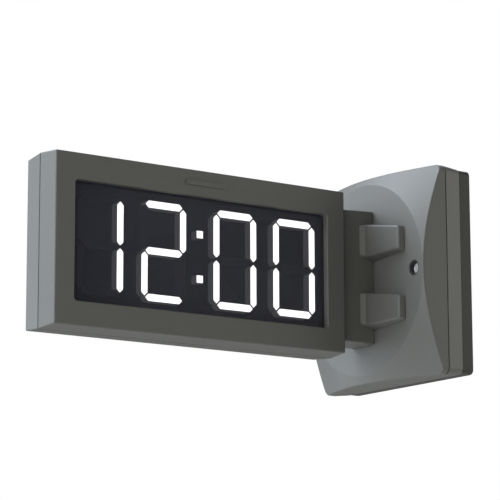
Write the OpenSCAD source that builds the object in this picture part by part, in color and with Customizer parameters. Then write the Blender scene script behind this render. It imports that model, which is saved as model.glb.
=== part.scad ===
// Two-sided digital wall clock on a flag arm, millimetres.
// +Z is up, the wall is the plane X = 0, the clock reaches out along -X,
// and the front dial faces -Y. The origin is the centre of the wall plate's back.

/* [Display case] */
// Length of the case, away from the wall
case_w = 240.2; // [236:0.1:300]
// Height of the case
case_h = 120; // [116:0.5:140]
// Thickness of the case, front dial to rear dial
case_d = 39.1; // [38:0.1:44]
// How much each half narrows towards its dial, per side
case_draft = 1.4; // [0.5:0.1:2]
// Wall thickness at the dial
case_wall = 2.2; // [1.6:0.1:3]

/* [Window] */
// Width of the window
window_w = 207.2; // [203:0.1:208]
// Height of the window
window_h = 82.3; // [80:0.1:83]
// Radius of the window's corners
window_r = 2.5; // [1:0.5:4]
// Depth of the lens behind the dial face
lens_recess = 4.7; // [3.5:0.1:5.2]

/* [Digits] */
// Width of a digit between the centre lines of its upright bars
digit_w = 31; // [24:0.1:32]
// Height of a digit between the centre lines of its outer level bars
digit_h = 64.7; // [50:0.1:66]
// Width of a bar
bar_w = 5; // [4:0.1:6.5]
// Distance between the two hour digits, and between the two minute digits
digit_pitch = 50.4; // [46:0.1:51]
// Distance between the digits on either side of the colon
colon_pitch = 58.5; // [55:0.1:59.5]

/* [Arm] */
// Visible length of the arm, case to cover
arm_len = 29; // [24:0.5:34]
// Height of the arm
arm_h = 98; // [94:0.5:100]
// Thickness of the arm
arm_w = 26; // [26:0.2:32]
// How far each lug's tip stands from the arm's middle
lug_reach = 49.8; // [47:0.2:51]

/* [Wall unit] */
// Width of the cover at its seam
plate_w = 142.2; // [142:0.1:152]
// Height of the cover at its seam
plate_h = 151.8; // [146.5:0.1:156]
// Radius of its corners
plate_r = 5.6; // [5:0.2:8]
// Radius of the cover's flat disc
disc_r = 70.2; // [69:0.1:70.4]
// Depth of the cover, disc to seam
cover_d = 21.4; // [21:0.1:24]
// Depth of the base behind the seam
base_d = 13.6; // [12.8:0.1:18]
// Depth of the dark wall plate
wall_plate_d = 10; // [9:0.1:14]

/* [Hidden] */
$fn = 48;
eps = 0.01;

// Depths of the wall unit, measured from the wall.
plate_x = -wall_plate_d;
seam_x = plate_x - base_d;
disc_x = seam_x - cover_d;
seam_gap = 0.8;
seal_inset = 1.2;
cover_front = disc_x;
cover_back = seam_x - seam_gap / 2;
base_front = seam_x + seam_gap / 2;

// The arm stands on a thin gasket on the disc.
arm_gasket_t = 0.6;
arm_x = disc_x - arm_gasket_t;
case_end = arm_x - arm_len;
case_x = case_end - case_w / 2;

// Case interior.
case_in_w = case_w - 2 * (case_draft + case_wall);
case_in_h = case_h - 2 * (case_draft + case_wall);
face_t = 3;
end_wall = case_draft + case_wall;
window_drop = 0.75;
flange_w = 2;

// Layers behind the dial face, as depths from the middle plane.
face_y = case_d / 2;
lens_t = 2;
lens_lip = 4.5;
lens_y = face_y - lens_recess;
gasket_t = 1;
tray_y = lens_y - lens_t - gasket_t;
tray_wall = 1.5;
tray_margin = 2.5;
mask_y = 5.05;
mask_t = 1.2;
bar_front = tray_y + 0.05;
bar_back = 3.95;
board_y = 3.15;
board_t = 1.2;
board_in_h = 48.7;
board_in_w = 106;
chassis_t = 1.5;
led_size = [3.5, 0.7, 2.8];

// Digit layout.
digits_drop = 0.5;
digit_x = [for (side = [-1, 1]) for (k = side < 0 ? [1, 0] : [0, 1])
    side * (colon_pitch / 2 + k * digit_pitch)];
level_gap = 0.6;
upright_gap = 0.95;
colon_size = 5.2;
colon_z = digit_h / 4 - 0.5;
// Bars of each digit that are lit: top, upper right, lower right, bottom, lower left, upper left, middle.
ONE = [0, 1, 1, 0, 0, 0, 0];
TWO = [1, 1, 0, 1, 1, 0, 1];
ZERO = [1, 1, 1, 1, 1, 1, 0];
SHOWN = [ONE, TWO, ZERO, ZERO];

// Screws that close the case.
case_boss_r = 3.5;
case_boss_x = case_in_w / 2 - 5.6;
case_boss_z = case_in_h / 2 - 4.1;
case_screw_r = 1.5;
case_head_r = 2.8;
case_head_h = 2;
case_head_sink = 2.6;
case_sites = [for (k = [-1, -1 / 3, 1 / 3, 1]) for (s = [-1, 1]) [k * case_boss_x, s * case_boss_z]];
// Screws through the two display boards.
stack_x = 60;
stack_z = 46.4;
stack_r = 1;
stack_head_r = 1.9;
stack_nut_r = 2;
stack_sites = [for (x = [-stack_x, stack_x]) for (z = [-stack_z, stack_z]) [x, z]];

// Spigot that joins the arm to the case.
spigot_h = 84;
spigot_w = 18;
spigot_wall = 3;
spigot_flange = 3;
flange_over = 3;
arm_wall = 3;
arm_taper_top = 1.6;
arm_taper_bottom = 0.6;

// Lugs on the arm.
lug_root_h = 27;
lug_top_drop = 6.6;
lug_bottom_rise = 2.4;
lug_root_y = arm_w / 2;
// Outline from above: how far from the arm's middle, and how far in front of the foot.
lug_foot_t = 12;
lug_root_t = 8.7;
lug_root_out = 2.4;
lug_tip_t = 4.6;
lug_tip_in = 1.2;
// How much the underside and the top spread towards the foot, in degrees.
lug_flare_bottom = 14;
lug_flare_top = 3;
lug_z = [11.8, -38.4];
lug_screw_y = 28;
lug_screw_up = 12.6;
lug_screw_r = 2;
lug_screw_depth = 6;
lug_sites = [for (s = [-1, 1]) for (z = lug_z) [s * lug_screw_y, z + lug_screw_up]];

// Cover.
cover_draft = 0.5;
cone_slope = 0.53;
rim_round = 1.2;
cover_wall = 3;
cover_slot = [14, 44];
cover_screw_y = 59.6;
recess_r = 5.6;
recess_d = 5.5;
cover_screw_r = 2;
cover_head_r = 4.3;
cover_tube_r = 7.5;

// Base and wall plate.
base_draft = 1.4;
wall_plate_step = 0.4;
base_wall = 3;
base_back = 2.5;
base_floor = plate_x - base_back;
base_boss_r = 5;
base_screw_at = 60;
base_screw_r = 2;
wall_plate_wall = 3;
wall_plate_size = [plate_w, plate_h] - 2 * (base_draft + wall_plate_step) * [1, 1];
wall_plate_r = plate_r - base_draft - wall_plate_step;
wall_hole_at = 50;
wall_hole_r = 2.6;
box_hole_at = 41.65;
box_hole_r = 2;
inlet_z = 24;
inlet_r = 11.1;
grommet_t = 2;
grommet_r = 9;

// Controller board.
pcb_t = 1.6;
pcb_rise = 5;
pcb_x = base_floor - pcb_rise - pcb_t;
pcb_y = 50;
pcb_z = [-64, 12];
pcb_hole_y = 45;
pcb_hole_z = [-59, 7];
pcb_screw_r = 1.5;
jack_at = [30, -23.5];
jack_size = [13.4, 16, 21];
jack_mouth = [8, 11.8, 14];
terminal_at = [-26, -24];
terminal_size = [10.8, 24, 12];
header_size = [7.8, 6, 20];
ribbon_w = 16;
ribbon_t = 1;
ribbon_sway = 3;
socket_size = [8, 3.9, 20];
reset_at = [-4, -20];
reset_body = [3.5, 6, 6];
reset_r = 1.7;
reset_len = 3.7;
reset_deep = 2.2;

CASE_COLOR = [0.32, 0.32, 0.30];
DARK_COLOR = [0.20, 0.20, 0.19];
BLACK = [0.06, 0.06, 0.07];
LIT = [1, 1, 1];
GREEN = [0.05, 0.30, 0.15];
STEEL = [0.75, 0.75, 0.77];
RUBBER = [0.09, 0.09, 0.09];

// ---- Shared shapes ----

module rounded_rect(w, h, r) {
    square([w - 2 * r, h], center = true);
    square([w, h - 2 * r], center = true);
    for (x = [-1, 1]) for (y = [-1, 1])
        translate([x * (w / 2 - r), y * (h / 2 - r)]) circle(r);
}

// Stands a flat outline in the YZ plane and extrudes it along +X from x to x + t.
module along_x(x, t) {
    translate([x, 0, 0]) rotate([90, 0, 90]) linear_extrude(t) children();
}

// Stands a flat outline in the XZ plane between depths y0 and y1 in front of the middle plane.
module in_front(y0, y1) {
    translate([0, -y0, 0]) rotate([90, 0, 0]) linear_extrude(y1 - y0) children();
}

// A rod or hole along X from x0 to x1.
module x_rod(x0, x1, r) {
    translate([x0, 0, 0]) rotate([0, 90, 0]) cylinder(h = x1 - x0, r = r);
}

// A rod or hole along Y between depths y0 and y1 in front of the middle plane.
module y_rod(y0, y1, r) {
    translate([0, -y0, 0]) rotate([90, 0, 0]) cylinder(h = y1 - y0, r = r);
}

module at_case() {
    translate([case_x, 0, 0]) children();
}

// Turns what is built for the front dial round to the rear one.
module rear() {
    rotate([0, 0, 180]) children();
}

// Cross recess for a screw head that faces -X, cut from its top at x.
module cross_recess(x, depth, reach) {
    for (a = [0, 90])
        translate([x, 0, 0]) rotate([a, 0, 0])
            translate([-eps, -reach, -reach / 5]) cube([depth, 2 * reach, reach * 2 / 5]);
}

// ---- Display case ----

// One drafted half of the case, from the middle plane to the dial, grown by g all round.
module case_half_solid(w, h, d, draft) {
    intersection() {
        translate([0, 0, -h / 2]) linear_extrude(h)
            polygon([[-w / 2, 0], [w / 2, 0], [w / 2 - draft, -d], [-w / 2 + draft, -d]]);
        along_x(-w / 2, w)
            polygon([[0, -h / 2], [0, h / 2], [-d, h / 2 - draft], [-d, -h / 2 + draft]]);
    }
}

module window_outline(grow) {
    translate([0, -window_drop])
        rounded_rect(window_w + 2 * grow, window_h + 2 * grow, window_r + grow);
}

module name_bar_blank() {
    translate([0, (case_h / 2 - case_draft + window_h / 2 - window_drop) / 2])
        rounded_rect(32, 4, 1.9);
}

module half_shell() {
    difference() {
        union() {
            difference() {
                case_half_solid(case_w, case_h, face_y, case_draft);
                in_front(-1, face_y - face_t) square([case_in_w, case_in_h], center = true);
            }
            in_front(lens_y, face_y - face_t / 2) window_outline(flange_w);
            for (p = case_sites)
                translate([p[0], 0, p[1]]) y_rod(chassis_t / 2, face_y - face_t / 2, case_boss_r);
            in_front(face_y - face_t / 2, face_y + 1) name_bar_blank();
        }
        in_front(0, face_y + 1) window_outline(0);
        // Room for the seal along the seam.
        translate([-case_w, -seam_gap / 2, -case_h]) cube([2 * case_w, 2, 2 * case_h]);
        // Half of the opening that holds the arm's spigot.
        translate([case_w / 2 - 2 * end_wall, -spigot_w / 2, -spigot_h / 2])
            cube([3 * end_wall, spigot_w, spigot_h]);
    }
}

module front_shell() color(CASE_COLOR) at_case() difference() {
    half_shell();
    for (p = case_sites)
        translate([p[0], 0, p[1]]) y_rod(0, face_y - face_t, case_screw_r);
}

module rear_shell() color(CASE_COLOR) at_case() mirror([0, 1, 0]) difference() {
    half_shell();
    for (p = case_sites) translate([p[0], 0, p[1]]) {
        y_rod(0, face_y + 1, case_screw_r + 0.2);
        y_rod(face_y - case_head_sink, face_y + 1, case_head_r + 0.3);
    }
}

module shell_seal() color(RUBBER) at_case() difference() {
    in_front(-seam_gap / 2, seam_gap / 2) difference() {
        square([case_w - 2 * seal_inset, case_h - 2 * seal_inset], center = true);
        square([case_in_w, case_in_h], center = true);
    }
    translate([case_w / 2 - 2 * end_wall, -spigot_w / 2, -spigot_h / 2])
        cube([3 * end_wall, spigot_w, spigot_h]);
}

module shell_screws() color(STEEL) at_case() {
    seat = face_y - case_head_sink;
    for (p = case_sites) translate([p[0], 0, p[1]]) mirror([0, 1, 0]) difference() {
        union() {
            y_rod(seat, seat + case_head_h, case_head_r);
            y_rod(-face_y + face_t + 4, seat, case_screw_r - 0.05);
        }
        for (a = [0, 90]) translate([0, -seat - case_head_h, 0]) rotate([0, a, 0])
            translate([-1.6, -eps, -0.3]) cube([3.2, 1.2, 0.6]);
    }
}

// ---- Display, built for the front dial ----

module lens() {
    in_front(lens_y - lens_t, lens_y) window_outline(lens_lip);
}

module tray_outline(grow) {
    translate([0, -window_drop])
        square([window_w, window_h] + 2 * (tray_margin + grow) * [1, 1], center = true);
}

module lens_gasket() {
    in_front(tray_y, tray_y + gasket_t) difference() {
        tray_outline(0);
        tray_outline(-tray_wall);
    }
}

// Six-sided bar with pointed ends, lying level, with its points gap short of the corners.
module bar_outline(len, gap, grow) {
    tip = len / 2 - gap + grow * sqrt(2);
    half = bar_w / 2 + grow;
    polygon([[-tip, 0], [-tip + half, half], [tip - half, half],
             [tip, 0], [tip - half, -half], [-tip + half, -half]]);
}

// Bar number n of a digit, in the order of the lit lists.
module digit_bar(n, grow) {
    level = n == 0 || n == 3 || n == 6;
    side = n == 1 || n == 2 ? 1 : -1;
    up = n == 1 || n == 5 ? 1 : -1;
    row = n == 0 ? 1 : n == 3 ? -1 : 0;
    if (level)
        translate([0, row * digit_h / 2]) bar_outline(digit_w, level_gap, grow);
    else
        translate([side * digit_w / 2, up * digit_h / 4]) rotate(90)
            bar_outline(digit_h / 2, upright_gap, grow);
}

// The bars of all digits whose state is want, and the colon's dots with the lit ones.
module segments(want, grow) {
    translate([0, -digits_drop]) {
        for (d = [0:3]) for (n = [0:6])
            if (SHOWN[d][n] == want) translate([digit_x[d], 0]) digit_bar(n, grow);
        if (want == 1) for (s = [-1, 1])
            translate([0, s * colon_z]) square(colon_size + 2 * grow, center = true);
    }
}

module mask_tray() {
    difference() {
        in_front(mask_y - mask_t, tray_y) tray_outline(0);
        in_front(mask_y, tray_y + 1) tray_outline(-tray_wall);
        in_front(0, mask_y + 1) for (want = [0, 1]) segments(want, 0.1);
    }
}

module segment_bars(want) {
    in_front(bar_back, bar_front) segments(want, 0);
}

// Two lamps under each bar, and one under each dot.
module leds() {
    spread = bar_w * 1.1;
    translate([0, 0, -digits_drop]) {
        for (x = digit_x) for (k = [-1, 1]) {
            for (row = [-1, 0, 1])
                translate([x + k * spread, -board_y, row * digit_h / 2]) led();
            for (side = [-1, 1]) for (up = [-1, 1])
                translate([x + side * digit_w / 2, -board_y, up * digit_h / 4 + k * spread]) led();
        }
        for (s = [-1, 1]) translate([0, -board_y, s * colon_z]) led();
    }
}

module led() {
    translate([-led_size[0] / 2, -led_size[1], -led_size[2] / 2]) cube(led_size);
}

module led_board() {
    in_front(board_y - board_t, board_y) difference() {
        square([2 * board_in_w, 2 * board_in_h], center = true);
        for (p = stack_sites) translate(p) circle(stack_r + 0.1);
    }
}

module driver_chips() {
    for (x = [-78, -45, 45, 78]) for (z = [-14, 14])
        translate([x - 4, -board_y + board_t, z - 3]) cube([8, 1, 6]);
}

module front_lens() color([0.1, 0.1, 0.12, 0.4]) at_case() lens();
module rear_lens() color([0.1, 0.1, 0.12, 0.4]) at_case() rear() lens();
module front_lens_gasket() color(RUBBER) at_case() lens_gasket();
module rear_lens_gasket() color(RUBBER) at_case() rear() lens_gasket();
module front_mask_tray() color(BLACK) at_case() mask_tray();
module rear_mask_tray() color(BLACK) at_case() rear() mask_tray();
module front_lit_segments() color(LIT) at_case() segment_bars(1);
module rear_lit_segments() color(LIT) at_case() rear() segment_bars(1);
module front_unlit_segments() color(DARK_COLOR) at_case() segment_bars(0);
module rear_unlit_segments() color(DARK_COLOR) at_case() rear() segment_bars(0);
module front_leds() color([0.9, 0.9, 0.8]) at_case() leds();
module rear_leds() color([0.9, 0.9, 0.8]) at_case() rear() leds();
module front_led_board() color(GREEN) at_case() led_board();
module rear_led_board() color(GREEN) at_case() rear() led_board();
module front_driver_chips() color(BLACK) at_case() driver_chips();
module rear_driver_chips() color(BLACK) at_case() rear() driver_chips();

// ---- Middle of the case ----

module chassis_plate() color(STEEL) at_case() in_front(-chassis_t / 2, chassis_t / 2) difference() {
    square([case_in_w - 10, case_in_h - 1.6], center = true);
    for (p = case_sites) translate(p) circle(case_screw_r + 0.2);
    for (p = stack_sites) translate(p) circle(stack_r + 0.1);
    square([26, 8], center = true);
    translate([board_in_w - socket_size[0] - 2, -12]) square([30, 24]);
    for (x = [-81, 81]) for (z = [-1, 1]) translate([x, z * 27]) square([40, 16], center = true);
}

module board_spacers() color(STEEL) at_case()
    for (side = [-1, 1]) for (p = stack_sites) translate([p[0], 0, p[1]])
        scale([1, side, 1]) difference() {
            y_rod(chassis_t / 2, board_y - board_t, 2.3);
            y_rod(0, board_y, stack_r + 0.1);
        }

module display_screws() color(STEEL) at_case()
    for (p = stack_sites) translate([p[0], 0, p[1]]) {
        y_rod(board_y, board_y + 1.8, stack_head_r);
        y_rod(-board_y - 2.4, board_y, stack_r - 0.05);
    }

module display_nuts() color(STEEL) at_case()
    for (p = stack_sites) translate([p[0], board_y, p[1]]) difference() {
        rotate([-90, 0, 0]) cylinder(h = 2, r = stack_nut_r / cos(30), $fn = 6);
        rotate([-90, 0, 0]) translate([0, 0, -1]) cylinder(h = 4, r = stack_r);
    }

module display_link() color(BLACK) at_case() {
    span = board_y - board_t;
    translate([-11, -span, -2.5]) cube([22, 2 * span, 5]);
}

module harness_socket() color([0.9, 0.88, 0.8]) at_case()
    translate([board_in_w - socket_size[0], -socket_size[1] / 2, -socket_size[2] / 2]) cube(socket_size);

// Flat ribbon with a slow sway, from the case's socket to the header on the controller.
module display_harness() color([0.55, 0.55, 0.58]) {
    x0 = case_x + board_in_w;
    x1 = pcb_x - header_size[0];
    steps = 24;
    sway = [for (i = [0:steps]) [x0 + (x1 - x0) * i / steps,
                                 ribbon_sway * (1 - cos(360 * i / steps)) / 2]];
    translate([0, 0, -ribbon_w / 2]) linear_extrude(ribbon_w)
        polygon(concat([for (p = sway) p - [0, ribbon_t / 2]],
                       [for (i = [steps:-1:0]) sway[i] + [0, ribbon_t / 2]]));
}

// ---- Arm ----

module case_outside() at_case() for (side = [0, 1])
    mirror([0, side, 0]) case_half_solid(case_w, case_h, face_y, case_draft);

// A wedge that grows out of the arm's side and spreads towards its foot.
module lug(z, side) mirror([0, side < 0 ? 1 : 0, 0]) intersection() {
    run = lug_reach - lug_root_y;
    big = case_h;
    translate([0, 0, -big]) linear_extrude(2 * big)
        polygon([for (p = [[0, lug_root_y - 2], [0, lug_reach], [-lug_tip_t, lug_reach - lug_tip_in],
                           [-lug_root_t, lug_root_y + lug_root_out], [-lug_foot_t, lug_root_y],
                           [-lug_foot_t, lug_root_y - 2]])
                 [arm_x + p[0], p[1]]]);
    translate([arm_x, lug_root_y, z]) rotate([atan(lug_bottom_rise / run), 0, 0])
        rotate([0, lug_flare_bottom, 0]) translate([-big, -big, 0]) cube(2 * big);
    translate([arm_x, lug_root_y, z + lug_root_h]) rotate([-atan(lug_top_drop / run), 0, 0])
        rotate([0, -lug_flare_top, 0]) translate([-big, -big, -2 * big]) cube(2 * big);
}

module arm() color(CASE_COLOR) difference() {
    flange_in = case_end - end_wall;
    union() {
        difference() {
            // The neck, a little taller towards the wall, scribed to the case's end.
            translate([0, arm_w / 2, 0]) rotate([90, 0, 0]) linear_extrude(arm_w)
                polygon([[case_end - 2 * case_draft, -arm_h / 2 + arm_taper_bottom],
                         [arm_x, -arm_h / 2], [arm_x, arm_h / 2],
                         [case_end - 2 * case_draft, arm_h / 2 - arm_taper_top]]);
            case_outside();
        }
        along_x(flange_in - eps, end_wall + 3) square([spigot_w, spigot_h], center = true);
        along_x(flange_in - spigot_flange, spigot_flange)
            square([spigot_w + 2 * flange_over, spigot_h + 2 * flange_over], center = true);
        for (z = lug_z) for (side = [-1, 1]) lug(z, side);
    }
    along_x(case_end + 3, arm_len) square([arm_w - 2 * arm_wall, arm_h - 4 * arm_wall], center = true);
    along_x(flange_in - spigot_flange - 1, end_wall + 10)
        square([spigot_w - 2 * spigot_wall, spigot_h - 2 * spigot_wall], center = true);
    for (p = lug_sites) translate([0, p[0], p[1]]) x_rod(arm_x - lug_screw_depth, arm_x + 1, lug_screw_r);
}

module arm_foot_outline(inset) {
    square([arm_w - 2 * inset, arm_h - 2 * inset], center = true);
    for (z = lug_z) for (side = [-1, 1])
        polygon([for (p = [[lug_root_y - 2, inset], [lug_root_y - 2, lug_root_h - inset],
                           [lug_reach - inset, lug_root_h - lug_top_drop - inset],
                           [lug_reach - inset, lug_bottom_rise + inset]])
                 [side * p[0], z + p[1]]]);
}

module arm_gasket() color(RUBBER) along_x(arm_x, arm_gasket_t) difference() {
    arm_foot_outline(1);
    square([arm_w - 2 * arm_wall, arm_h - 4 * arm_wall], center = true);
    for (p = lug_sites) translate(p) circle(lug_screw_r + 0.3);
}

// Round-headed screws that face -X, or +X when turned.
module arm_screws() color(STEEL) for (p = lug_sites) translate([0, p[0], p[1]]) {
    inside = cover_front + cover_wall;
    x_rod(inside, inside + 2.6, 4);
    x_rod(arm_x - lug_screw_depth + 0.5, inside, lug_screw_r - 0.05);
}

// ---- Wall cover ----

// Cone-sided disc about X, with its flat face at x, flat radius r and a rounded rim.
module dished_disc(x, r, round) {
    tilt = atan(cone_slope);
    far = plate_h;
    set_back = round * tan(tilt / 2);
    steps = 6;
    rim = [for (i = [0:steps]) let (a = tilt * i / steps)
           [r - set_back + round * sin(a), round * (1 - cos(a))]];
    translate([x, 0, 0]) rotate([0, 90, 0]) rotate_extrude($fn = 180)
        polygon(concat([[0, 0]], rim, [[far, (far - r) * cone_slope], [far, 60], [0, 60]]));
}

// Block of size [y, z] with rounded corners, whose sides spread by draft from x0 to x1.
module drafted_block(x0, x1, size, draft, r) {
    half = size / 2;
    flat = half - [r, r];
    translate([0, 0, -flat[1]]) linear_extrude(2 * flat[1]) polygon(drafted_sides(x0, x1, half[0], draft));
    translate([0, flat[0], 0]) rotate([90, 0, 0]) linear_extrude(2 * flat[0])
        polygon(drafted_sides(x0, x1, half[1], draft));
    for (y = [-1, 1]) for (z = [-1, 1])
        translate([x0, y * flat[0], z * flat[1]]) rotate([0, 90, 0])
            cylinder(h = x1 - x0, r1 = r - draft, r2 = r);
}

function drafted_sides(x0, x1, half, draft) =
    [[x0, draft - half], [x1, -half], [x1, half], [x0, half - draft]];

function cover_inside() = [plate_w, plate_h] - 2 * (cover_wall + cover_draft) * [1, 1];

module cover() color(CASE_COLOR) difference() {
    inner = cover_inside();
    union() {
        difference() {
            intersection() {
                drafted_block(cover_front, cover_back, [plate_w, plate_h], cover_draft, plate_r);
                dished_disc(cover_front, disc_r, rim_round);
            }
            intersection() {
                along_x(cover_front, cover_d + 1) rounded_rect(inner[0], inner[1], plate_r - cover_wall);
                dished_disc(cover_front + cover_wall, disc_r - cover_wall / 2, rim_round);
            }
        }
        for (side = [-1, 1]) translate([0, side * cover_screw_y, 0])
            x_rod(cover_front + cover_wall / 2, cover_back, cover_tube_r);
    }
    along_x(cover_front - 1, cover_wall + 2) square(cover_slot, center = true);
    for (side = [-1, 1]) translate([0, side * cover_screw_y, 0]) {
        x_rod(cover_front - 1, cover_front + recess_d, recess_r);
        x_rod(cover_front, cover_back + 1, cover_screw_r + 0.25);
    }
    for (p = lug_sites) translate([0, p[0], p[1]])
        x_rod(cover_front - 1, cover_front + cover_wall + 1, lug_screw_r + 0.3);
}

module cover_seal() color(RUBBER) along_x(cover_back, seam_gap) difference() {
    inner = cover_inside();
    rounded_rect(plate_w - 2 * seal_inset, plate_h - 2 * seal_inset, plate_r - seal_inset);
    rounded_rect(inner[0], inner[1], plate_r - cover_wall);
}

module cover_screws() color(STEEL) for (side = [-1, 1]) translate([0, side * cover_screw_y, 0]) {
    seat = cover_front + recess_d;
    head_h = 2.9;
    difference() {
        union() {
            x_rod(seat - head_h + 1.1, seat, cover_head_r);
            // Low dome on top of the head.
            translate([seat - head_h, 0, 0]) rotate([0, 90, 0]) cylinder(h = 1.1, r1 = 2.9, r2 = cover_head_r);
            x_rod(seat, base_floor - 1.5, cover_screw_r - 0.05);
        }
        cross_recess(seat - head_h, 1.9, 2.1);
    }
}

// Rubber sleeve that lines each recess and seals round the screw's head.
module cover_screw_seals() color(RUBBER) for (side = [-1, 1]) translate([0, side * cover_screw_y, 0])
    difference() {
        x_rod(cover_front + 0.5, cover_front + recess_d, recess_r);
        x_rod(cover_front, cover_front + recess_d + 1, cover_head_r + 0.15);
    }

module screw_retainers() color(BLACK) for (side = [-1, 1]) translate([0, side * cover_screw_y, 0])
    difference() {
        x_rod(cover_back, cover_back + 0.6, 4);
        x_rod(cover_back - 1, cover_back + 2, cover_screw_r);
    }

// ---- Base and wall plate ----

module square_sites(at) {
    for (y = [-at, at]) for (z = [-at, at]) translate([0, y, z]) children();
}

module base() color(CASE_COLOR) difference() {
    inner = [plate_w, plate_h] - 2 * (base_wall + base_draft) * [1, 1];
    union() {
        difference() {
            mirror([1, 0, 0])
                drafted_block(-plate_x, -base_front, [plate_w, plate_h], base_draft, plate_r);
            along_x(base_front - 1, base_floor - base_front + 1)
                rounded_rect(inner[0], inner[1], plate_r - base_wall);
        }
        for (side = [-1, 1]) translate([0, side * cover_screw_y, 0])
            x_rod(base_front, base_floor + 0.5, base_boss_r);
        for (y = [-pcb_hole_y, pcb_hole_y]) for (z = pcb_hole_z)
            translate([0, y, z]) x_rod(pcb_x + pcb_t, base_floor + 0.5, 3);
    }
    for (side = [-1, 1]) translate([0, side * cover_screw_y, 0])
        x_rod(base_front - 1, base_floor - 1, cover_screw_r);
    for (y = [-pcb_hole_y, pcb_hole_y]) for (z = pcb_hole_z)
        translate([0, y, z]) x_rod(pcb_x, base_floor - 0.5, pcb_screw_r);
    square_sites(base_screw_at) x_rod(base_floor - 1, plate_x + 1, base_screw_r + 0.25);
    translate([0, 0, inlet_z]) x_rod(base_floor - 1, plate_x + 1, inlet_r + grommet_t);
}

module base_screws() color(STEEL) square_sites(base_screw_at) {
    x_rod(base_floor - 2.6, base_floor, 4);
    x_rod(base_floor, -wall_plate_wall - 0.5, base_screw_r - 0.05);
}

module wall_plate() color(DARK_COLOR) difference() {
    floor_x = -wall_plate_wall;
    outer = wall_plate_size;
    inner = outer - 2 * wall_plate_wall * [1, 1];
    union() {
        difference() {
            along_x(plate_x, wall_plate_d) rounded_rect(outer[0], outer[1], wall_plate_r);
            along_x(plate_x - 1, floor_x - plate_x + 1)
                rounded_rect(inner[0], inner[1], wall_plate_r - wall_plate_wall);
        }
        square_sites(base_screw_at) x_rod(plate_x, floor_x + 0.5, 4.5);
    }
    square_sites(base_screw_at) x_rod(plate_x - 1, floor_x, base_screw_r);
    square_sites(wall_hole_at) x_rod(floor_x - 1, 1, wall_hole_r);
    for (z = [-box_hole_at, box_hole_at]) translate([0, 0, z]) x_rod(floor_x - 1, 1, box_hole_r);
    translate([0, 0, inlet_z]) x_rod(floor_x - 1, 1, inlet_r);
}

module cable_grommet() color(RUBBER) translate([0, 0, inlet_z]) difference() {
    union() {
        x_rod(base_floor, plate_x, inlet_r + grommet_t);
        x_rod(base_floor - 1.2, base_floor, inlet_r + 2 * grommet_t);
        x_rod(plate_x, plate_x + 1.2, inlet_r + 2 * grommet_t);
    }
    x_rod(base_floor - 2, plate_x + 2, grommet_r);
}

// ---- Controller ----

// A block standing on the controller board, centred at [y, z].
module on_board(at, size) {
    translate([pcb_x - size[0], at[0] - size[1] / 2, at[1] - size[2] / 2]) cube(size);
}

module controller_board() color(GREEN) along_x(pcb_x, pcb_t) difference() {
    translate([-pcb_y, pcb_z[0]]) square([2 * pcb_y, pcb_z[1] - pcb_z[0]]);
    for (y = [-pcb_hole_y, pcb_hole_y]) for (z = pcb_hole_z) translate([y, z]) circle(pcb_screw_r + 0.1);
}

module board_screws() color(STEEL) for (y = [-pcb_hole_y, pcb_hole_y]) for (z = pcb_hole_z)
    translate([0, y, z]) {
        x_rod(pcb_x - 2, pcb_x, 2.8);
        x_rod(pcb_x, base_floor - 1, pcb_screw_r - 0.05);
    }

module ethernet_jack() color(STEEL) difference() {
    on_board(jack_at, jack_size);
    mouth_x = pcb_x - jack_size[0] + 2;
    translate([mouth_x, jack_at[0] - jack_mouth[1] / 2, jack_at[1] + jack_size[2] / 2 - jack_mouth[2]])
        cube(jack_mouth + [0, 0, 1]);
}

module jack_contacts() color([0.85, 0.7, 0.3]) {
    mouth_x = pcb_x - jack_size[0] + 2;
    for (i = [0:7])
        translate([mouth_x, jack_at[0] + (i - 3.5) * 1.02 - 0.2, jack_at[1] - 3]) cube([1.2, 0.4, 8]);
}

module terminal_block() color([0.15, 0.5, 0.25]) difference() {
    on_board(terminal_at, terminal_size);
    for (i = [0:3]) {
        y = terminal_at[0] + (i - 1.5) * 5.5;
        translate([pcb_x - 4, y, terminal_at[1]]) cylinder(h = terminal_size[2], r = 1.5);
        translate([0, y, terminal_at[1]])
            x_rod(pcb_x - terminal_size[0] - 1, pcb_x - terminal_size[0] + 3.5, 1.9);
    }
}

module terminal_screws() color(STEEL) for (i = [0:3])
    translate([0, terminal_at[0] + (i - 1.5) * 5.5, terminal_at[1]]) difference() {
        x_rod(pcb_x - terminal_size[0] + 1, pcb_x - terminal_size[0] + 3.5, 1.8);
        translate([pcb_x - terminal_size[0] + 1 - eps, -1.8, -0.25]) cube([0.8, 3.6, 0.5]);
    }

transformer_at = [30, -50];
module poe_transformer() color(BLACK) difference() {
    on_board(transformer_at, [12, 18, 16]);
    for (side = [-1, 1]) translate([0, side * 5, 0]) on_board(transformer_at, [8, 4, 20]);
}

module transformer_winding() color([0.75, 0.45, 0.2]) for (side = [-1, 1])
    translate([-1, side * 5, 0]) on_board(transformer_at, [6.5, 3.6, 14]);

module power_inductor() color([0.2, 0.2, 0.22]) {
    on_board([9, -53], [2, 12, 12]);
    translate([0, 9, -53]) x_rod(pcb_x - 6, pcb_x - 2, 5);
}

module capacitors() color([0.15, 0.15, 0.3]) for (at = [[-8, -50], [-8, -38], [10, -38]])
    translate([0, at[0], at[1]]) {
        x_rod(pcb_x - 11, pcb_x - 1.2, 4);
        x_rod(pcb_x - 1.2, pcb_x, 3.6);
    }

module processor() color(BLACK) on_board([8, -18], [1.4, 14, 14]);

module memory_chips() color(BLACK) for (at = [[-8, -6], [-24, -8]]) on_board(at, [1.1, 10, 6]);

cell_at = [-32, -50];
module cell_holder() color(BLACK) translate([0, cell_at[0], cell_at[1]]) difference() {
    x_rod(pcb_x - 4.4, pcb_x, 11.5);
    x_rod(pcb_x - 6, pcb_x - 1, 10.1);
    translate([pcb_x - 6, -4, 6]) cube([5, 8, 10]);
}

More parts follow.
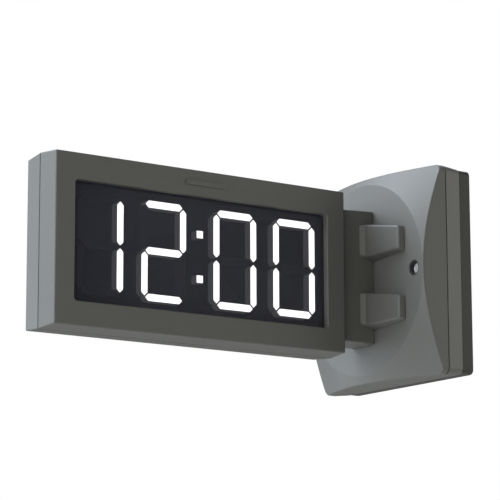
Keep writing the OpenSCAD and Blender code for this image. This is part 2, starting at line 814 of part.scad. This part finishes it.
module coin_cell() color(STEEL) translate([0, cell_at[0], cell_at[1]]) x_rod(pcb_x - 4.2, pcb_x - 1, 10);

module harness_header() color([0.9, 0.88, 0.8]) on_board([0, 0], header_size);

module status_led() color([0.3, 0.9, 0.4]) on_board([20, -6], [0.8, 1.6, 0.8]);

module reset_switch() color([0.25, 0.25, 0.25]) difference() {
    on_board(reset_at, reset_body);
    translate([0, reset_at[0], reset_at[1]])
        x_rod(pcb_x - reset_body[0] - 1, pcb_x - reset_body[0] + reset_deep + 0.5, reset_r + 0.05);
}

module reset_button() color([0.8, 0.2, 0.15]) translate([0, reset_at[0], reset_at[1]])
    x_rod(pcb_x - reset_body[0] + reset_deep - reset_len, pcb_x - reset_body[0] + reset_deep, reset_r);

front_shell();
rear_shell();
shell_seal();
shell_screws();
front_lens();
rear_lens();
front_lens_gasket();
rear_lens_gasket();
front_mask_tray();
rear_mask_tray();
front_lit_segments();
rear_lit_segments();
front_unlit_segments();
rear_unlit_segments();
front_leds();
rear_leds();
front_led_board();
rear_led_board();
front_driver_chips();
rear_driver_chips();
chassis_plate();
board_spacers();
display_screws();
display_nuts();
display_link();
harness_socket();
display_harness();
arm();
arm_gasket();
arm_screws();
cover();
cover_seal();
cover_screws();
cover_screw_seals();
screw_retainers();
base();
base_screws();
wall_plate();
cable_grommet();
controller_board();
board_screws();
ethernet_jack();
jack_contacts();
terminal_block();
terminal_screws();
poe_transformer();
transformer_winding();
power_inductor();
capacitors();
processor();
memory_chips();
cell_holder();
coin_cell();
harness_header();
status_led();
reset_switch();
reset_button();
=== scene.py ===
"""Two-sided digital wall clock on a flag arm, dressed for a soft studio view."""
import math

import bmesh
import bpy
from mathutils import Matrix, Vector


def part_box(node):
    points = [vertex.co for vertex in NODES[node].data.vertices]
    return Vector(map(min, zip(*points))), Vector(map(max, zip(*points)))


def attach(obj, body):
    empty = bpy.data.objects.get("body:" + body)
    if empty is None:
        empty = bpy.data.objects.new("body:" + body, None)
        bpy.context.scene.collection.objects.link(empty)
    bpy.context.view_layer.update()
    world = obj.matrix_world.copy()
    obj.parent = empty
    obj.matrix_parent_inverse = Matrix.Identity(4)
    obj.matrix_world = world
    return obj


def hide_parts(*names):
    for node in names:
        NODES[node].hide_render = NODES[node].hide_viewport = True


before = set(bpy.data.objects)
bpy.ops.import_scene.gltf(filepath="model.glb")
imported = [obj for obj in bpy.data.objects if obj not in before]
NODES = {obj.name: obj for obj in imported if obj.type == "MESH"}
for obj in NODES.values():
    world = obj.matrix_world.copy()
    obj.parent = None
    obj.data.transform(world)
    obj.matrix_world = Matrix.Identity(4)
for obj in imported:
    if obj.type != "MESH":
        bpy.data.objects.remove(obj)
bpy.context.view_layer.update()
MM = 0.001

# ---- Camera ----

VIEW_AZIMUTH = -34.3
VIEW_ELEVATION = -11.23
VIEW_ROLL = -0.17
VIEW_DISTANCE = 1.64473
VIEW_TARGET = (-0.16121, -0.02428, 0.00594)
LENS = 170.63
SENSOR = 36.0


def look_axes(azimuth, elevation, roll):
    """Right, up and back axes of a camera; azimuth 0 looks along +Y."""
    az, el, ro = (math.radians(a) for a in (azimuth, elevation, roll))
    back = Vector((math.cos(el) * math.sin(az), -math.cos(el) * math.cos(az), math.sin(el)))
    level = Vector((math.cos(az), math.sin(az), 0.0))
    upright = back.cross(level)
    right = math.cos(ro) * level + math.sin(ro) * upright
    return right, back.cross(right), back


def make_camera():
    data = bpy.data.cameras.new("photo_camera")
    data.lens = LENS
    data.sensor_width = SENSOR
    data.clip_start = 0.05
    data.clip_end = 40.0
    camera = bpy.data.objects.new("photo_camera", data)
    bpy.context.scene.collection.objects.link(camera)
    right, up, back = look_axes(VIEW_AZIMUTH, VIEW_ELEVATION, VIEW_ROLL)
    place = Vector(VIEW_TARGET) + VIEW_DISTANCE * back
    camera.matrix_world = Matrix((
        (right.x, up.x, back.x, place.x),
        (right.y, up.y, back.y, place.y),
        (right.z, up.z, back.z, place.z),
        (0, 0, 0, 1),
    ))
    bpy.context.scene.camera = camera


# ---- Light ----

FLOOR_Z = -1.0
FLOOR_HALF = 6.0
AMBIENT = 0.058
LIGHT_CENTRE = Vector((-0.12, 0, 0))
COOL = (0.83, 0.90, 1.0)
WARM = (1.0, 0.985, 0.94)
# Name, direction it comes from, distance and size in metres, power in watts, colour.
LAMPS = (
    ("key", (-1.0, 0.75, 1.1), 2.2, 1.6, 60.0, COOL),
    ("far_side", (-0.8, 1.2, 0.6), 2.2, 1.6, 9.0, COOL),
    ("end_on", (-1.0, 0.0, 0.1), 2.2, 1.4, 23.0, COOL),
    ("overhead", (-0.5, 0.25, 1.2), 2.2, 1.6, 22.0, COOL),
    ("far_low", (-0.7, 1.2, -0.3), 2.2, 1.6, 24.0, COOL),
    ("right", (1.0, -0.9, 0.1), 2.2, 1.6, 3.6, WARM),
    ("right_low", (1.0, -0.45, 0.2), 2.2, 1.6, 16.5, WARM),
    ("near_left", (-0.9, -0.8, 0.2), 0.9, 0.6, 3.1, WARM),
    ("top_back", (0.4, 0.5, 1.0), 2.2, 1.6, 18.0, COOL),
)


def area_light(name, direction, distance, size, power, colour):
    """A square soft light that looks at the clock's middle from direction."""
    data = bpy.data.lights.new(name, "AREA")
    data.shape = "SQUARE"
    data.size = size
    data.energy = power
    data.color = colour
    lamp = bpy.data.objects.new(name, data)
    bpy.context.scene.collection.objects.link(lamp)
    away = Vector(direction).normalized()
    lamp.location = LIGHT_CENTRE + away * distance
    lamp.rotation_euler = away.to_track_quat("Z", "Y").to_euler()
    lamp.visible_camera = False


def make_light():
    world = bpy.data.worlds.new("studio")
    bpy.context.scene.world = world
    world.use_nodes = True
    nt = world.node_tree
    nt.nodes.clear()
    out = nt.nodes.new("ShaderNodeOutputWorld")
    mix = nt.nodes.new("ShaderNodeMixShader")
    path = nt.nodes.new("ShaderNodeLightPath")
    ambient = nt.nodes.new("ShaderNodeBackground")
    seen = nt.nodes.new("ShaderNodeBackground")
    ambient.inputs["Color"].default_value = (0.95, 0.97, 1.0, 1)
    ambient.inputs["Strength"].default_value = AMBIENT
    seen.inputs["Color"].default_value = (1, 1, 1, 1)
    seen.inputs["Strength"].default_value = 1.0
    nt.links.new(path.outputs["Is Camera Ray"], mix.inputs[0])
    nt.links.new(ambient.outputs[0], mix.inputs[1])
    nt.links.new(seen.outputs[0], mix.inputs[2])
    nt.links.new(mix.outputs[0], out.inputs[0])
    for lamp in LAMPS:
        area_light(*lamp)


def make_floor():
    mesh = bpy.data.meshes.new("floor")
    corners = ((-1, -1), (1, -1), (1, 1), (-1, 1))
    mesh.from_pydata([(x * FLOOR_HALF, y * FLOOR_HALF, FLOOR_Z) for x, y in corners],
                     [], [(0, 1, 2, 3)])
    floor = bpy.data.objects.new("floor", mesh)
    bpy.context.scene.collection.objects.link(floor)
    mat = bpy.data.materials.new("floor")
    mat.use_nodes = True
    shader = mat.node_tree.nodes["Principled BSDF"]
    shader.inputs["Base Color"].default_value = (0.80, 0.77, 0.705, 1)
    shader.inputs["Roughness"].default_value = 0.9
    mesh.materials.append(mat)


# ---- Materials ----


class Finish:
    """A node material on one Principled shader, built a step at a time."""

    def __init__(self, name):
        self.mat = bpy.data.materials.new("dressed_" + name)
        self.mat.use_nodes = True
        self.tree = self.mat.node_tree
        self.shader = self.tree.nodes["Principled BSDF"]
        self.coord = self.tree.nodes.new("ShaderNodeTexCoord").outputs["Object"]
        self.last_bump = None

    def node(self, kind, **values):
        made = self.tree.nodes.new(kind)
        for key, value in values.items():
            setattr(made, key, value)
        return made

    def link(self, source, target):
        self.tree.links.new(source, target)
        return self

    def constant(self, **values):
        """Sets the shader's own sockets; an underscore stands for a space."""
        for key, value in values.items():
            self.shader.inputs[key.replace("_", " ")].default_value = value
        return self

    def spot(self, stretch=(1, 1, 1)):
        if stretch == (1, 1, 1):
            return self.coord
        mapping = self.node("ShaderNodeMapping")
        mapping.inputs["Scale"].default_value = stretch
        self.link(self.coord, mapping.inputs["Vector"])
        return mapping.outputs[0]

    def noise(self, size_mm, detail=2.0, rough=0.5, stretch=(1, 1, 1)):
        made = self.node("ShaderNodeTexNoise")
        made.inputs["Scale"].default_value = 1000.0 / size_mm
        made.inputs["Detail"].default_value = detail
        made.inputs["Roughness"].default_value = rough
        self.link(self.spot(stretch), made.inputs["Vector"])
        return made.outputs[0]

    def wave(self, pitch_mm, axis):
        """Even bands across one axis, one band every pitch."""
        made = self.node("ShaderNodeTexWave", bands_direction=axis, wave_profile="SIN")
        made.inputs["Scale"].default_value = 2 * math.pi / 20.0 / (pitch_mm * MM)
        self.link(self.coord, made.inputs["Vector"])
        return made.outputs["Fac"]

    def cells(self, size_mm, distance):
        made = self.node("ShaderNodeTexVoronoi", feature="F1", distance=distance)
        made.inputs["Scale"].default_value = 1000.0 / size_mm
        self.link(self.coord, made.inputs["Vector"])
        return made.outputs["Distance"]

    def remap(self, value, low, high, to_low=0.0, to_high=1.0):
        made = self.node("ShaderNodeMapRange")
        for key, number in (("From Min", low), ("From Max", high),
                            ("To Min", to_low), ("To Max", to_high)):
            made.inputs[key].default_value = number
        self.link(value, made.inputs["Value"])
        return made.outputs[0]

    def math(self, operation, a, b=0.0):
        made = self.node("ShaderNodeMath", operation=operation)
        for index, value in enumerate((a, b)):
            if isinstance(value, (int, float)):
                made.inputs[index].default_value = value
            else:
                self.link(value, made.inputs[index])
        return made.outputs[0]

    def blend(self, factor, a, b):
        """A colour between a and b; each is a colour or a socket."""
        made = self.node("ShaderNodeMix", data_type="RGBA")
        self.link(factor, made.inputs[0])
        for index, value in ((6, a), (7, b)):
            if isinstance(value, tuple):
                made.inputs[index].default_value = (*value, 1.0)
            else:
                self.link(value, made.inputs[index])
        return made.outputs[2]

    def edge_wear_and_highlight(self):
        """1 on sharp outside edges, 0 on flats, broken up by a noise: where edges get light wear
        and a painted highlight.
        """
        edge = self.remap(self.node("ShaderNodeNewGeometry").outputs["Pointiness"], 0.53, 0.62)
        patches = self.remap(self.noise(7.0, 3.0), 0.4, 0.62)
        return self.math("MULTIPLY", edge, patches)

    def facing(self, axis, level=0.9):
        """1 where the object's own normal points along plus or minus axis."""
        split = self.node("ShaderNodeSeparateXYZ")
        self.link(self.node("ShaderNodeTexCoord").outputs["Normal"], split.inputs[0])
        along = self.math("ABSOLUTE", split.outputs["XYZ".index(axis)])
        return self.math("GREATER_THAN", along, level)

    def colour(self, socket):
        return self.link(socket, self.shader.inputs["Base Color"])

    def roughness(self, socket):
        return self.link(socket, self.shader.inputs["Roughness"])

    def bump(self, height, depth_mm, strength=1.0):
        made = self.node("ShaderNodeBump")
        made.inputs["Distance"].default_value = depth_mm * MM
        made.inputs["Strength"].default_value = strength
        self.link(height, made.inputs["Height"])
        if self.last_bump is not None:
            self.link(self.last_bump, made.inputs["Normal"])
        self.last_bump = made.outputs[0]
        return self.link(self.last_bump, self.shader.inputs["Normal"])


def shade(colour, factor):
    return tuple(c * factor for c in colour)


def moulded(name, colour, rough=0.5, grain_mm=0.45, depth_mm=0.012, edge=1.3, mottle=0.012,
            gloss=0.5):
    """Moulded plastic with a fine spark-eroded grain; its sharp edges are painted lighter, a
    painted highlight with a little wear.
    """
    f = Finish(name)
    broad = f.remap(f.noise(35.0, 3.0), 0.3, 0.7)
    flecks = f.remap(f.noise(grain_mm * 3, 3.0, 0.6), 0.35, 0.65)
    body = f.blend(broad, shade(colour, 1 - mottle), shade(colour, 1 + mottle))
    body = f.blend(f.math("MULTIPLY", flecks, 0.3), body, shade(colour, 1.1))
    # Painted highlight with a little wear: sharp outside edges are lightened by the factor edge.
    f.colour(f.blend(f.math("MULTIPLY", f.edge_wear_and_highlight(), 0.6), body, shade(colour, edge)))
    f.roughness(f.remap(f.noise(2.5, 3.0), 0.3, 0.7, rough - 0.02, rough + 0.02))
    f.bump(f.noise(grain_mm, 2.0, 0.55), depth_mm, 0.6)
    f.constant(Specular_IOR_Level=gloss)
    return f


def metal(name, colour, rough, stretch=(1, 1, 1), scratch_mm=0.25, metallic=1.0):
    """Bare or plated metal with fine drawn lines and a few dull patches."""
    f = Finish(name)
    lines = f.noise(scratch_mm, 4.0, 0.6, stretch)
    f.colour(f.blend(f.remap(f.noise(3.0, 3.0), 0.35, 0.7), shade(colour, 0.86), colour))
    f.roughness(f.remap(lines, 0.3, 0.7, rough - 0.08, rough + 0.1))
    f.constant(Metallic=metallic)
    f.bump(lines, 0.006, 0.5)
    return f


def lens(name):
    """Smoked, see-through acrylic with a hint of flow in its polish and a little dust."""
    f = Finish(name)
    dust = f.remap(f.noise(0.8, 4.0, 0.7), 0.62, 0.8)
    f.colour(f.blend(dust, (0.050, 0.052, 0.069), (0.07, 0.072, 0.085)))
    f.roughness(f.remap(f.noise(22.0, 2.0), 0.3, 0.7, 0.07, 0.13))
    f.constant(Alpha=0.38, IOR=1.49, Specular_IOR_Level=0.35)
    return f


def lit_bar(name):
    """Milky light guide: bright on its front face, dim on its shaded sides."""
    f = Finish(name)
    front = f.facing("Y")
    f.colour(f.blend(front, (0.05, 0.05, 0.06), (0.8, 0.8, 0.8)))
    f.roughness(f.remap(f.noise(1.5, 3.0), 0.3, 0.7, 0.32, 0.45))
    glow = f.remap(f.noise(14.0, 1.0), 0.3, 0.7, 3.2, 3.35)
    f.constant(Emission_Color=(1.0, 1.0, 1.0, 1.0))
    glow = f.math("MULTIPLY", glow, f.remap(front, 0.0, 1.0, 0.02, 1.0))
    f.link(glow, f.shader.inputs["Emission Strength"])
    f.bump(f.noise(0.6, 2.0), 0.01, 0.3)
    return f


def circuit_board(name, colour):
    """Solder mask over copper: square-cornered tracks, vias and a faint weave."""
    f = Finish(name)
    tracks = f.remap(f.cells(5.0, "CHEBYCHEV"), 0.3, 0.34)
    rim = f.remap(f.cells(2.6, "MANHATTAN"), 0.16, 0.12)
    weave = f.math("MULTIPLY", f.wave(1.2, "X"), f.wave(1.2, "Z"))
    body = f.blend(tracks, shade(colour, 1.5), colour)
    body = f.blend(f.math("MULTIPLY", weave, 0.2), body, shade(colour, 0.6))
    f.colour(f.blend(rim, body, (0.62, 0.52, 0.26)))
    f.roughness(f.remap(tracks, 0, 1, 0.25, 0.36))
    f.bump(tracks, 0.035, 0.4)
    return f


def ribbon(name, colour):
    """Flat cable: one rounded rib for each wire."""
    f = Finish(name)
    ribs = f.wave(1.27, "Z")
    # Painted shade: the grooves between the ribs are painted darker.
    f.colour(f.blend(f.remap(ribs, 0.0, 0.45), shade(colour, 0.55), colour))
    f.roughness(f.remap(f.noise(4.0), 0.3, 0.7, 0.4, 0.5))
    f.bump(ribs, 0.3, 0.7)
    return f


def winding(name, colour):
    f = Finish(name)
    turns = f.wave(0.4, "X")
    # Painted shade: the grooves between the turns are painted darker.
    f.colour(f.blend(turns, shade(colour, 0.45), colour))
    f.roughness(f.remap(turns, 0, 1, 0.45, 0.28))
    f.constant(Metallic=1.0)
    f.bump(turns, 0.12, 0.8)
    return f


def can(name, colour):
    """Sleeved capacitor: dark glossy film round it, scored bare metal on its top."""
    f = Finish(name)
    top = f.facing("X", 0.95)
    f.colour(f.blend(top, f.blend(f.remap(f.noise(3.0), 0.4, 0.6), colour, shade(colour, 1.3)),
                     (0.6, 0.6, 0.62)))
    f.link(top, f.shader.inputs["Metallic"])
    f.roughness(f.remap(f.noise(0.5, 3.0), 0.3, 0.7, 0.25, 0.36))
    f.bump(f.noise(0.5, 3.0), 0.01, 0.4)
    return f


def package(name, colour):
    """Moulded epoxy or nylon part: satin, with a little uneven flow."""
    return moulded(name, colour, rough=0.42, grain_mm=0.25, depth_mm=0.006, edge=1.5,
                   mottle=0.08)


def clear_cap(name, colour, glow=0.0):
    f = Finish(name)
    f.colour(f.blend(f.remap(f.noise(1.2), 0.35, 0.65), shade(colour, 0.85), colour))
    f.roughness(f.remap(f.noise(0.7), 0.3, 0.7, 0.15, 0.25))
    f.bump(f.noise(0.9), 0.01, 0.3)
    if glow:
        f.constant(Emission_Color=(*colour, 1.0), Emission_Strength=glow)
    return f


CASE_COLOUR = (0.085, 0.085, 0.078)
MASK_COLOUR = (0.02, 0.02, 0.023)
# Painted light: parts given a lighter copy of the case's plastic so they look more brightly lit,
# and how much lighter that copy is.
PAINTED_LIGHT_FACTORS = {"arm": 1.12, "cover": 1.2, "base": 1.22}


def make_finishes():
    made = {
        "case_plastic": moulded("case_plastic", CASE_COLOUR),
        "plate_plastic": moulded("plate_plastic", (0.024, 0.024, 0.0215), rough=0.55),
        "mask_plastic": moulded("mask_plastic", MASK_COLOUR, rough=0.7, edge=1.05, gloss=0.1),
        "lens_smoke": lens("lens_smoke"),
        "lit_diffuser": lit_bar("lit_diffuser"),
        "unlit_diffuser": moulded("unlit_diffuser", MASK_COLOUR, rough=0.65, edge=1.0, gloss=0.1),
        "seal_rubber": moulded("seal_rubber", (0.015, 0.015, 0.015), rough=0.72, grain_mm=0.6,
                               edge=1.2),
        "screw_steel": metal("screw_steel", (0.90, 0.90, 0.91), 0.24, metallic=0.6),
        "chassis_aluminium": metal("chassis_aluminium", (0.60, 0.61, 0.62), 0.34, (0.04, 1, 1)),
        "board_green": circuit_board("board_green", (0.02, 0.13, 0.06)),
        "chip_black": package("chip_black", (0.02, 0.02, 0.02)),
        "connector_cream": package("connector_cream", (0.75, 0.70, 0.58)),
        "lamp_body": clear_cap("lamp_body", (0.85, 0.83, 0.62)),
        "ribbon_grey": ribbon("ribbon_grey", (0.30, 0.30, 0.32)),
        "winding_copper": winding("winding_copper", (0.55, 0.26, 0.12)),
        "contact_gold": metal("contact_gold", (0.80, 0.60, 0.22), 0.22, (1, 1, 0.1)),
        "capacitor_sleeve": can("capacitor_sleeve", (0.03, 0.035, 0.10)),
        "terminal_green": package("terminal_green", (0.05, 0.28, 0.10)),
        "status_green": clear_cap("status_green", (0.15, 0.75, 0.25), 1.5),
        "button_red": clear_cap("button_red", (0.60, 0.05, 0.04)),
    }
    return {slot: finish.mat for slot, finish in made.items()}


def dress():
    finishes = make_finishes()
    for obj in NODES.values():
        for slot in obj.material_slots:
            slot.material = finishes[slot.material.name.split(".")[0]]
    # Painted light: each of these parts gets a lighter copy of the case's plastic.
    for node, lighter in PAINTED_LIGHT_FACTORS.items():
        lit_copy = moulded("case_plastic_" + node, shade(CASE_COLOUR, lighter))
        NODES[node].material_slots[0].material = lit_copy.mat


# ---- Edges ----

# Radius in millimetres put on each small node's edges.
EDGE_RADII = {
    "front_mask_tray": 0.15, "rear_mask_tray": 0.15, "front_lit_segments": 0.12,
    "rear_lit_segments": 0.12, "front_unlit_segments": 0.12, "rear_unlit_segments": 0.12,
    "front_lens": 0.25, "rear_lens": 0.25, "cover_screws": 0.08, "cover_screw_seals": 0.2,
    "shell_screws": 0.12,
    "cable_grommet": 0.4, "shell_seal": 0.15, "cover_seal": 0.15, "reset_button": 0.3,
    "ethernet_jack": 0.25, "poe_transformer": 0.4, "capacitors": 0.5, "processor": 0.2,
    "coin_cell": 0.3, "terminal_block": 0.2,
}


# Points closer than WELD (metres) are one point, faces within FLAT are one face, edges that
# turn by less than SHARP are shaded smooth, and mouldings are rounded from ROUNDED up.
WELD = 2e-6
FLAT = math.radians(0.3)
ROUNDED = math.radians(24)
SHARP = math.radians(35)


def soften(node, width):
    """Rounds every edge of a small node by the same radius, as a modifier."""
    obj = NODES[node]
    weld = obj.modifiers.new("weld", "WELD")
    weld.merge_threshold = WELD
    flat = obj.modifiers.new("planar", "DECIMATE")
    flat.decimate_type = "DISSOLVE"
    flat.angle_limit = FLAT
    bevel = obj.modifiers.new("round", "BEVEL")
    bevel.width = width
    bevel.segments = 3
    bevel.limit_method = "ANGLE"
    bevel.angle_limit = math.radians(38)
    bevel.use_clamp_overlap = True
    bevel.miter_outer = "MITER_ARC"
    weigh_normals(obj)


def weigh_normals(obj):
    normals = obj.modifiers.new("normals", "WEIGHTED_NORMAL")
    normals.keep_sharp = True
    normals.weight = 100


def moulding(node, steps):
    """A copy of a CAD moulding with its own radius on each kind of edge.

    Each step is a radius in millimetres and a test of an edge's middle point, given in
    millimetres; only edges that turn outwards are rounded.
    """
    source = NODES[node]
    bm = bmesh.new()
    bm.from_mesh(source.data)
    bmesh.ops.remove_doubles(bm, verts=bm.verts, dist=WELD)
    bmesh.ops.dissolve_limit(bm, angle_limit=FLAT, verts=bm.verts, edges=bm.edges)
    for radius, wanted in steps:
        edges = []
        for edge in bm.edges:
            if len(edge.link_faces) != 2 or not edge.is_convex:
                continue
            if edge.calc_face_angle() < ROUNDED:
                continue
            if wanted((edge.verts[0].co + edge.verts[1].co) / (2 * MM)):
                edges.append(edge)
        bmesh.ops.bevel(bm, geom=edges, offset=radius * MM, offset_type="OFFSET", segments=4,
                        profile=0.5, affect="EDGES", clamp_overlap=False, miter_outer="ARC")
    for edge in bm.edges:
        edge.smooth = len(edge.link_faces) == 2 and edge.calc_face_angle() < SHARP
    mesh = bpy.data.meshes.new(node + "_moulding")
    bm.to_mesh(mesh)
    bm.free()
    mesh.polygons.foreach_set("use_smooth", [True] * len(mesh.polygons))
    mesh.materials.append(source.material_slots[0].material)
    piece = bpy.data.objects.new(node + "_moulding", mesh)
    bpy.context.scene.collection.objects.link(piece)
    weigh_normals(piece)
    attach(piece, "clock")
    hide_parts(node)


def box_mm(node):
    low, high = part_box(node)
    return low / MM, high / MM


# Millimetres. NEAR is how close an edge counts as being on a face.
NEAR = 0.1
NAME_BAR_RISE = 1.0
CASE_DRAFT = 1.4
# Window edges are further than this from the case's arm end, and from its top and bottom.
WINDOW_INSET = (4, 16)
NECK_HALF = 13.0
NECK_TAPER = 3
# The base's and cover's sides lean in by less than this.
LEAN = 2.2
SCREW_ZONE = 50


def mould_shell(node):
    low, high = box_mm(node)
    face = max(abs(low.y), abs(high.y)) - NAME_BAR_RISE
    seam = min(abs(low.y), abs(high.y))

    def at_end(p):
        return p.x < low.x + CASE_DRAFT + NEAR or p.x > high.x - CASE_DRAFT - NEAR

    def at_level(p):
        return abs(p.z) > high.z - CASE_DRAFT - NEAR

    def on_face(p):
        return abs(abs(p.y) - face) < NEAR

    def outline(p):
        return on_face(p) and (at_end(p) or at_level(p)) or at_end(p) and at_level(p)

    moulding(node, (
        (1.0, outline),
        (0.3, lambda p: abs(abs(p.y) - seam) < NEAR and (at_end(p) or at_level(p))),
        (0.9, lambda p: on_face(p) and p.x < high.x - WINDOW_INSET[0]
                        and abs(p.z) < high.z - WINDOW_INSET[1]),
        (0.3, lambda p: abs(p.y) > face + NAME_BAR_RISE - NEAR),
    ))


def mould_arm():
    high = box_mm("arm")[1]

    def off_foot(p):
        return p.x < high.x - NEAR

    def neck_corner(p):
        return abs(abs(p.y) - NECK_HALF) < NEAR and abs(p.z) > high.z - NECK_TAPER

    moulding("arm", (
        (1.5, lambda p: abs(p.y) > NECK_HALF + NEAR and off_foot(p)),
        (1.2, lambda p: neck_corner(p) and off_foot(p)),
    ))


def near_outline(p, high, corner, depth):
    """Whether a point is within depth of the outside of a rounded rectangle."""
    y, z = abs(p.y) - (high.y - corner), abs(p.z) - (high.z - corner)
    gap = math.hypot(y, z) - corner if y > 0 and z > 0 else max(y, z) - corner
    return gap > -depth


def mould_wall_part(node, front, back, corner, recess=0.0):
    """front and back are the radii at the two ends of its outside, recess that of its holes."""
    low, high = box_mm(node)

    def outside(p):
        return near_outline(p, high, corner, LEAN)

    steps = [
        (front, lambda p: outside(p) and p.x < high.x - NEAR),
        (back, lambda p: outside(p) and p.x > high.x - NEAR),
    ]
    if recess:
        steps.append((recess, lambda p: p.x < low.x + NEAR and abs(p.y) > SCREW_ZONE))
    moulding(node, steps)


make_camera()
make_light()
make_floor()
dress()
for name, radius in EDGE_RADII.items():
    soften(name, radius * MM)
for name in ("front_shell", "rear_shell"):
    mould_shell(name)
mould_arm()
mould_wall_part("cover", 0.7, 0.3, 5.6, recess=0.35)
mould_wall_part("base", 0.3, 0.35, 5.6)
mould_wall_part("wall_plate", 0.35, 0.6, 3.8)

scene = bpy.context.scene
scene.view_settings.view_transform = "Standard"
scene.view_settings.look = "None"
